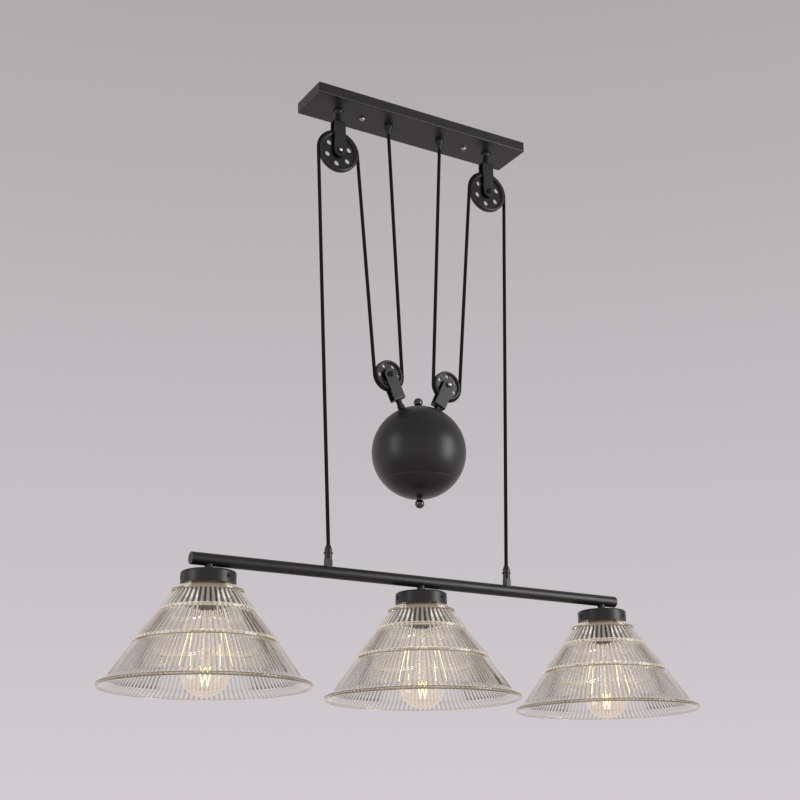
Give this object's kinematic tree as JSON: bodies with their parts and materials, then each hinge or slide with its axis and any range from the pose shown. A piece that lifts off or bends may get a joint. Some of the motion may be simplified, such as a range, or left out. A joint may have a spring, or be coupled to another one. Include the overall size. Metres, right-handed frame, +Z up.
{
  "type": "rise and fall pendant light",
  "caption": "Ceiling pendant with fluted glass cone shades on a horizontal bar, hung on cords over pulleys and balanced by a ball counterweight.",
  "frame": {"origin": "middle of the two ceiling screw holes, in the plane of the ceiling", "axes": "+Z up, out of the canopy into the ceiling; +X along the lamp bar, to the right as seen from the front; +Y away from the front"},
  "size_m": [0.8728, 0.26, 0.864],
  "materials": {
    "satin_black": "satin powder coat",
    "black_pulley": "satin powder coat on cast wheels",
    "bright_nut": "polished nickel",
    "zinc_steel": "zinc plated",
    "black_screw": "blackened steel",
    "cast_ballast": "raw casting",
    "cord_braid": "woven black braid",
    "lead_sleeve": "braided and silicone sleeved cores",
    "phenolic": "moulded phenolic",
    "terminal_plastic": "moulded polyamide",
    "clear_glass": "pressed clear glass",
    "bulb_glass": "blown clear glass",
    "lamp_cap": "rolled brass"
  },
  "bodies": {
    "canopy": {"canopy_pan": "satin_black", "mounting_bracket": "zinc_steel", "bracket_studs": "zinc_steel", "canopy_cap_nuts": "bright_nut", "feed_glands": "satin_black", "feed_gland_nuts": "zinc_steel", "terminal_block": "terminal_plastic", "canopy_leads": "lead_sleeve", "hanger_beads": "satin_black", "hanger_sleeves": "satin_black", "hanger_screws": "black_screw", "hanger_nuts": "zinc_steel", "upper_yoke_left": "satin_black", "upper_yoke_right": "satin_black", "upper_axles": "black_screw", "upper_axle_nuts": "bright_nut", "upper_wraps": "cord_braid", "lamp_run_left": "cord_braid", "lamp_run_right": "cord_braid", "middle_run_left": "cord_braid", "middle_run_right": "cord_braid", "feed_run_left": "cord_braid", "feed_run_right": "cord_braid"},
    "counterweight": {"weight_shell": "satin_black", "weight_cap": "satin_black", "ballast_discs": "cast_ballast", "tie_rod": "zinc_steel", "weight_finials": "black_screw", "weight_screws": "black_screw", "weight_nuts": "black_screw", "lower_yoke_left": "satin_black", "lower_yoke_right": "satin_black", "lower_axles": "black_screw", "lower_axle_nuts": "bright_nut", "lower_wraps": "cord_braid"},
    "lamp_bar": {"bar_tube": "satin_black", "bar_end_caps": "satin_black", "bar_glands": "satin_black", "bar_gland_nuts": "satin_black", "bar_lead_left": "lead_sleeve", "bar_lead_right": "lead_sleeve", "cup_nipples": "satin_black", "cup_set_screws": "zinc_steel", "lampholders": "phenolic", "bulb_caps": "lamp_cap", "lamp_cup_left": "satin_black", "glass_shade_left": "clear_glass", "bulb_left": "bulb_glass", "lamp_cup_centre": "satin_black", "glass_shade_centre": "clear_glass", "bulb_centre": "bulb_glass", "lamp_cup_right": "satin_black", "glass_shade_right": "clear_glass", "bulb_right": "bulb_glass", "bulb_filaments": "zinc_steel"},
    "upper_sheave_left": {"upper_sheave_left": "black_pulley"},
    "upper_sheave_right": {"upper_sheave_right": "black_pulley"},
    "lower_sheave_left": {"lower_sheave_left": "black_pulley"},
    "lower_sheave_right": {"lower_sheave_right": "black_pulley"}
  },
  "joints": [
    {"name": "bar_slide", "type": "slide", "parent": "canopy", "child": "lamp_bar", "axis": [0, 0, -1], "range_m": [-0.05, 0.38], "deforming": ["lamp_run_left", "lamp_run_right"]},
    {"name": "weight_slide", "type": "slide", "parent": "canopy", "child": "counterweight", "axis": [0, 0, 1], "range_m": [-0.026, 0.191], "deforming": ["middle_run_left", "middle_run_right", "feed_run_left", "feed_run_right"]},
    {"name": "upper_spin_left", "type": "hinge", "parent": "canopy", "child": "upper_sheave_left", "pos_m": [-0.129, 0, -0.083], "axis": [0, 1, 0], "continuous": true},
    {"name": "upper_spin_right", "type": "hinge", "parent": "canopy", "child": "upper_sheave_right", "pos_m": [0.129, 0, -0.083], "axis": [0, 1, 0], "continuous": true},
    {"name": "lower_spin_left", "type": "hinge", "parent": "counterweight", "child": "lower_sheave_left", "pos_m": [-0.04792, 0, -0.41036], "axis": [0, 1, 0], "continuous": true},
    {"name": "lower_spin_right", "type": "hinge", "parent": "counterweight", "child": "lower_sheave_right", "pos_m": [0.04792, 0, -0.41036], "axis": [0, 1, 0], "continuous": true}
  ],
  "couplings": [
    {"joint": "weight_slide", "follows": "bar_slide", "ratio": 0.5},
    {"joint": "upper_spin_left", "follows": "bar_slide", "rad_per_m": -31.447},
    {"joint": "upper_spin_right", "follows": "bar_slide", "rad_per_m": 31.447},
    {"joint": "lower_spin_left", "follows": "bar_slide", "rad_per_m": 22.523},
    {"joint": "lower_spin_right", "follows": "bar_slide", "rad_per_m": -22.523}
  ]
}
